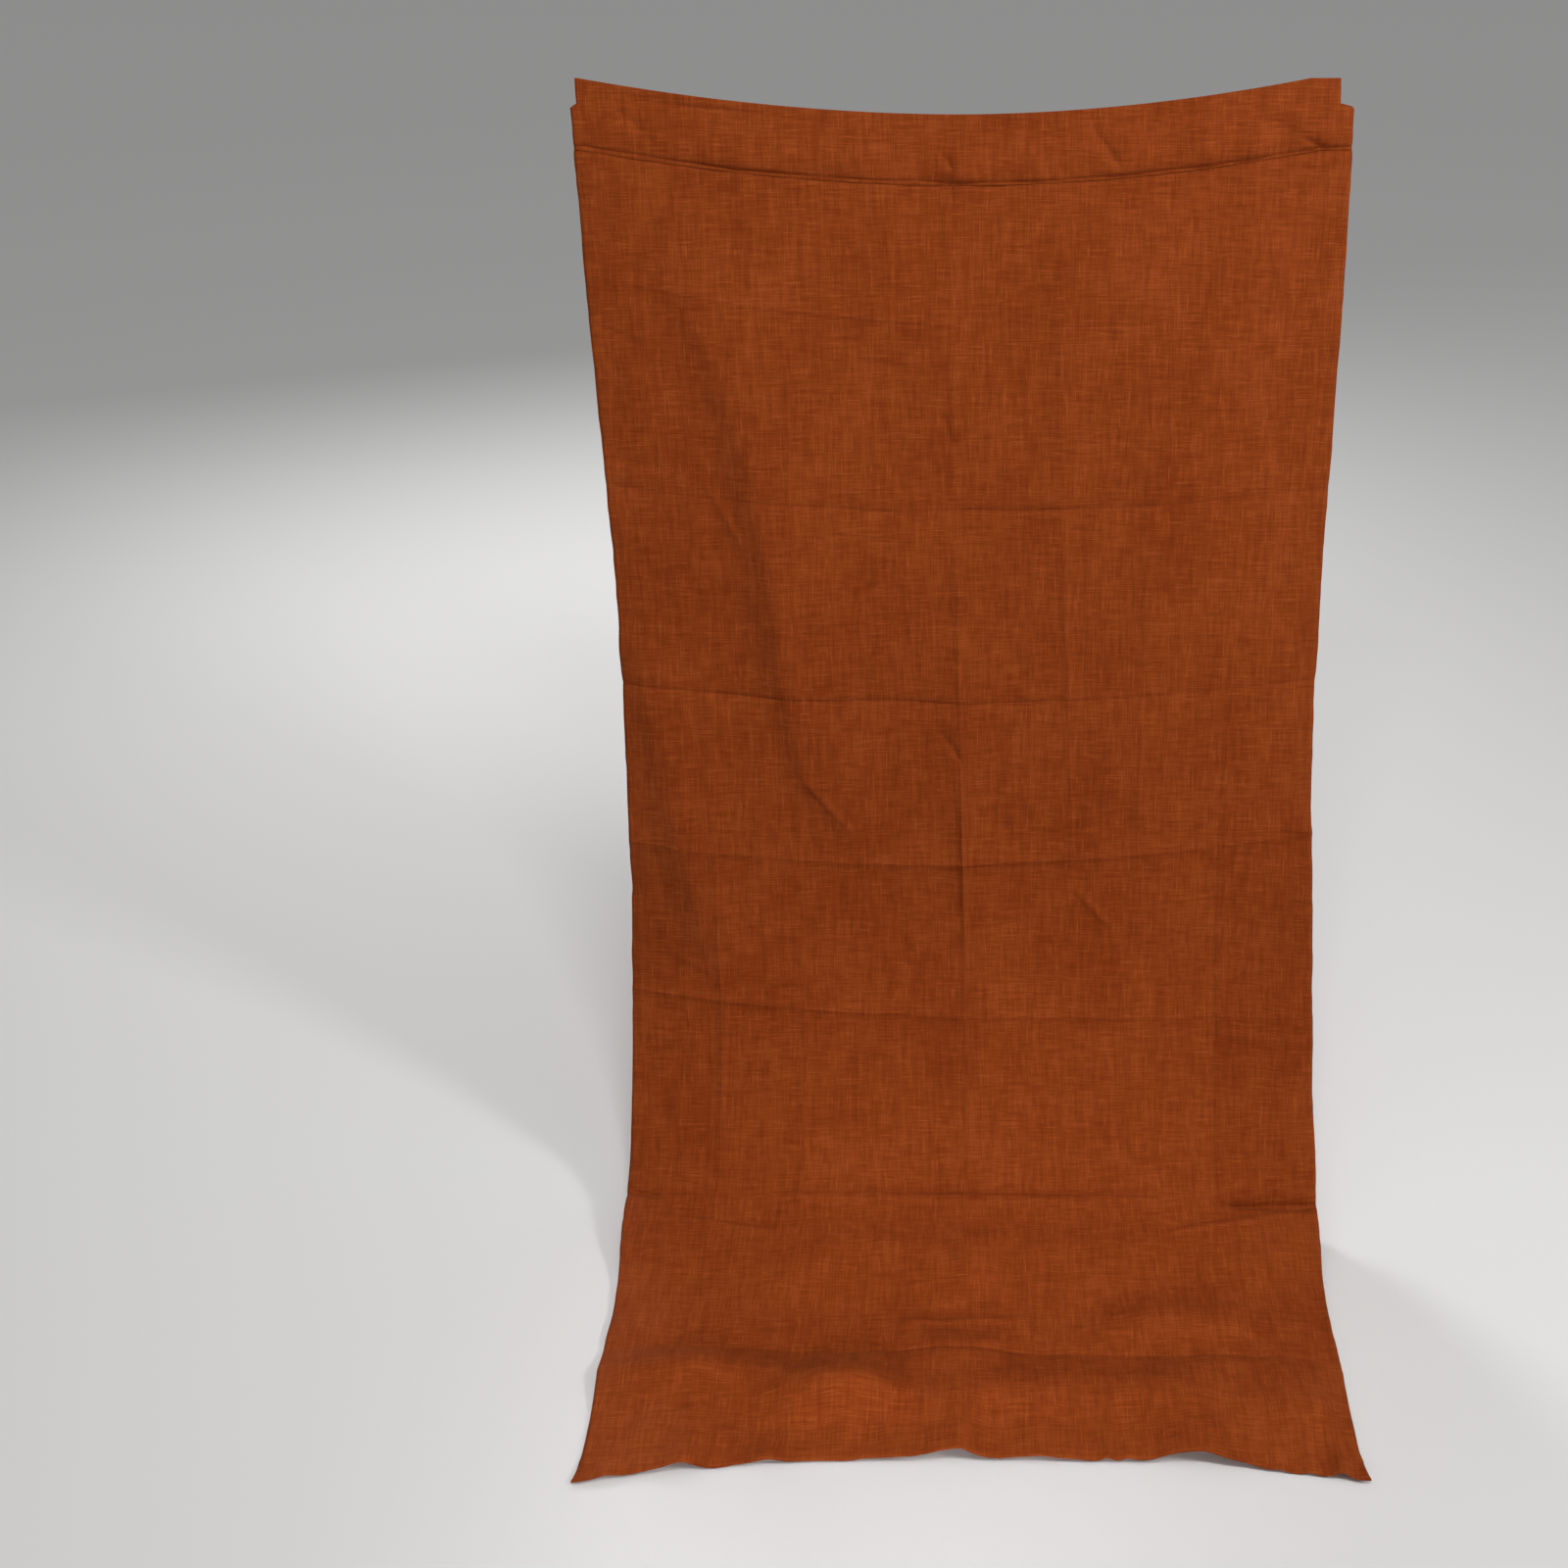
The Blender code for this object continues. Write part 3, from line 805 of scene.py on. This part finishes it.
def bottom_strip(name, section):
    """A strip along the bottom edge; the section gives heights up from it and layers behind."""
    u = np.linspace(-1.0, 1.0, COLUMNS + 1)
    guide = u * HALF_WIDTH
    rows = [bottom_line(guide) - up for up, _ in section]
    along = np.array(rows)
    layer = np.array([point[1] for point in section])[:, None]
    x = column_x(u[None, :], along, 1.0, 0.0004)
    return grid_piece(name, lay(x, along, layer * PITCH), x, along)


def make_hems():
    made = []
    for label, side in (("left", -1), ("right", 1)):
        made.append(finish_piece(side_hem(label, side), "linen", LINEN, label + "_hem_fold"))
        raw = side_raw_edge(label, side)
        made.append(finish_piece(raw, "linen", LINEN, label + "_hem_turn_under"))
    heights = (0.2, 0.4, 0.6, 0.8, 1.0)
    section = FOLD_SECTION + tuple((BOTTOM_HEM * share, 2.0) for share in heights)
    bottom = bottom_strip("bottom_hem", section)
    made.append(finish_piece(bottom, "linen", LINEN, "bottom_hem_fold"))
    raw = bottom_strip("bottom_hem_raw_edge", ((0.0008, 1.0), (TURN_UNDER / 2.0, 1.0), (TURN_UNDER, 1.0)))
    made.append(finish_piece(raw, "linen", LINEN, "bottom_hem_turn_under"))
    return made


# ---------------------------------------------------------------- stitching

STITCH = 0.0040              # needle hole to needle hole
THREAD_RADIUS = 0.00030
STITCH_SIDES = 6
STITCH_RINGS = ((0.06, -0.9, 0.55), (0.20, 0.25, 0.95), (0.50, 0.55, 1.0), (0.80, 0.25, 0.95),
                (0.94, -0.9, 0.55))


def unit(vectors):
    return vectors / np.maximum(np.linalg.norm(vectors, axis=-1, keepdims=True), SMALL)


def stitch_run(name, holes, out, lift):
    """Single stitches from hole to hole; out points away from the cloth, lift is its surface."""
    starts, ends = holes[:-1], holes[1:]
    outward = unit((out[:-1] + out[1:]) / 2.0)
    forward = unit(ends - starts)
    sideways = unit(np.cross(forward, outward))
    rings = []
    for share, rise, width in STITCH_RINGS:
        centre = starts + (ends - starts) * share
        centre = centre + outward * (lift + THREAD_RADIUS * rise)
        for side in range(STITCH_SIDES):
            angle = 2.0 * math.pi * side / STITCH_SIDES
            ring = sideways * math.cos(angle) + outward * math.sin(angle)
            rings.append(centre + ring * THREAD_RADIUS * width)
    count = len(starts)
    points = np.stack(rings, axis=1)
    per_stitch = points.shape[1]
    faces = []
    for ring in range(len(STITCH_RINGS) - 1):
        for side in range(STITCH_SIDES):
            a = ring * STITCH_SIDES + side
            b = ring * STITCH_SIDES + (side + 1) % STITCH_SIDES
            faces.append((a, b, b + STITCH_SIDES, a + STITCH_SIDES))
    last = (len(STITCH_RINGS) - 1) * STITCH_SIDES
    half = STITCH_SIDES // 2
    for k in range(half - 1):
        low, high = k, STITCH_SIDES - 1 - k
        faces.append((low, high, high - 1, low + 1))
        faces.append((last + low, last + low + 1, last + high - 1, last + high))
    template = np.array(faces)
    shift = np.arange(count)[:, None, None] * per_stitch
    return mesh_object(name, points, (template[None] + shift).reshape(-1, 4))


def outward_normals(along, direction):
    _, _, normal_y, normal_z = profile(along)
    return direction * np.stack([0.0 * along, normal_y, normal_z], axis=-1)


def seam_holes(x, along, layer, direction):
    """Needle holes on the outside of a layer; direction is -1 in front and +1 behind."""
    holes = lay(x, along, layer * PITCH)
    return holes, outward_normals(along, direction)


def thread_pair(label, x, along, back_holes=None):
    front, out_front = seam_holes(x, along, 0.0, -1.0)
    back, out_back = seam_holes(x, along, 2.0, 1.0)
    if back_holes is not None:
        back = back_holes
    needle = stitch_run(label + "_needle_stitches", front, out_front, PLY / 2.0)
    bobbin = stitch_run(label + "_bobbin_stitches", back, out_back, PLY / 2.0)
    finish_piece(needle, "thread", THREAD, label + "_needle_thread")
    finish_piece(bobbin, "thread", THREAD, label + "_bobbin_thread")
    return [needle, bobbin]


def make_stitching():
    made = []
    inset = SIDE_HEM - STITCH_INSET
    for label, side in (("left_hem", -1), ("right_hem", 1)):
        along = stations(POCKET_AT_CORNER + 0.006, CORNER_LENGTH - BOTTOM_HEM - 0.004, STITCH)
        x = middle_x(along) + side * (half_width(along) - inset)
        made += thread_pair(label, x, along)
    reach = HALF_WIDTH - 0.016
    x = stations(-reach - 0.008, reach + 0.002, STITCH)
    along = seam_line(x)
    behind = place_back(x, along, pocket_back_offset(x, along))
    made += thread_pair("pocket", x, along, behind)
    x = stations(-HALF_WIDTH + 0.004, HALF_WIDTH - 0.002, STITCH)
    along = bottom_line(x) - BOTTOM_HEM + STITCH_INSET
    made += thread_pair("bottom_hem", x, along)
    return made


TACK_BARS = 9
TACK_LENGTH = 0.010
TACK_INSET = 0.004


def bar_tack(label, side):
    """Dense cross stitches over the end of the pocket seam."""
    start = middle_x(POCKET_AT_CORNER) + side * (half_width(POCKET_AT_CORNER) - TACK_INSET)
    x = start - side * TACK_LENGTH * np.linspace(0.0, 1.0, TACK_BARS)
    rise = 0.0013 * np.where(np.arange(TACK_BARS) % 2 == 0, 1.0, -1.0)
    along = POCKET_AT_CORNER + 0.0006 + rise
    holes, out = seam_holes(x, along, 0.0, -1.0)
    piece = stitch_run("pocket_bar_tack_" + label + "_stitches", holes, out, PLY / 2.0)
    return finish_piece(piece, "thread", THREAD, "pocket_bar_tack_" + label)


# ---------------------------------------------------------------- studio

CAMERA_BACK = 3.92           # in front of the pocket
CAMERA_UP = 2.781            # above the floor
CAMERA_PITCH = math.radians(27.2)
CAMERA_LENS = 48.1
CAMERA_SHIFT = -0.1175
FLOOR_REACH = 30.0

DOME_LOW = 0.11              # world brightness at the horizon, and overhead
DOME_HIGH = 0.42
HANGING = (0.0, FRONT_Y - 0.2, (TOP_Z + FLOOR_Z) / 2.0 + 0.3)
TRAIN = (-0.1, -1.2, FLOOR_Z)
BACK = (0.0, 0.0, -0.9)
# Lamps: name, place, target, size, power in watts and beam
LAMPS = (
    ("key", (4.3, -3.0, TOP_Z + 1.2), HANGING, (0.9, 0.9), 116.0, math.pi),
    ("top", (0.2, -2.5, TOP_Z + 1.9), HANGING, (0.7, 0.4), 47.0, math.pi),
    ("low", (-0.5, -3.7, FLOOR_Z + 1.1), TRAIN, (0.7, 0.3), 1.35, math.radians(36.0)),
    ("back", (-1.6, 4.2, TOP_Z + 1.4), BACK, (1.2, 1.0), 105.0, math.pi),
)


def make_floor(height):
    mesh = bpy.data.meshes.new("floor")
    corners = [(x * FLOOR_REACH, y * FLOOR_REACH, height) for x, y in ((-1, -1), (1, -1), (1, 1), (-1, 1))]
    mesh.from_pydata(corners, [], [(0, 1, 2, 3)])
    floor = bpy.data.objects.new("floor", mesh)
    bpy.context.scene.collection.objects.link(floor)
    n = Nodes("floor_paint")
    n.shader.inputs["Base Color"].default_value = (0.84, 0.835, 0.83, 1.0)
    n.shader.inputs["Roughness"].default_value = 0.9
    mesh.materials.append(n.material)
    return floor


def add_light(name, place, target, size, power, beam):
    data = bpy.data.lights.new(name, "AREA")
    data.spread = beam
    data.shape = "RECTANGLE"
    data.size, data.size_y = size
    data.energy = power
    light = bpy.data.objects.new(name, data)
    light.location = place
    direction = Vector(target) - Vector(place)
    light.rotation_euler = direction.to_track_quat("-Z", "Y").to_euler()
    bpy.context.scene.collection.objects.link(light)


def make_world():
    """A white sky that is brighter overhead."""
    world = bpy.data.worlds.new("studio")
    world.use_nodes = True
    tree = world.node_tree
    sky = tree.nodes.new("ShaderNodeSeparateXYZ")
    tree.links.new(tree.nodes.new("ShaderNodeTexCoord").outputs["Generated"], sky.inputs[0])
    dome = tree.nodes.new("ShaderNodeMapRange")
    tree.links.new(sky.outputs["Z"], dome.inputs["Value"])
    dome.inputs["To Min"].default_value = DOME_LOW
    dome.inputs["To Max"].default_value = DOME_HIGH
    tree.links.new(dome.outputs[0], tree.nodes["Background"].inputs["Strength"])
    tree.nodes["Background"].inputs["Color"].default_value = (1.0, 1.0, 1.0, 1.0)
    bpy.context.scene.world = world


def make_camera():
    camera = bpy.data.objects.new("camera", bpy.data.cameras.new("camera"))
    camera.data.lens = CAMERA_LENS
    camera.data.sensor_width = 36.0
    camera.data.shift_x = CAMERA_SHIFT
    camera.location = (0.0, FRONT_Y - CAMERA_BACK, FLOOR_Z + CAMERA_UP)
    camera.rotation_euler = (math.pi / 2.0 - CAMERA_PITCH, 0.0, 0.0)
    bpy.context.scene.collection.objects.link(camera)
    bpy.context.scene.camera = camera


def make_studio():
    bpy.context.scene.view_settings.view_transform = "Standard"
    make_world()
    for lamp in LAMPS:
        add_light(*lamp)
    make_camera()


def main():
    panel = make_panel()
    finish_piece(panel, "linen", LINEN, "panel_cloth")
    extras = make_pocket_back() + make_hems() + make_stitching()
    extras += [bar_tack("left", -1), bar_tack("right", 1)]
    bpy.context.view_layer.update()
    low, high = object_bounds()
    floor = make_floor(low.z - GAP)
    make_studio()


main()
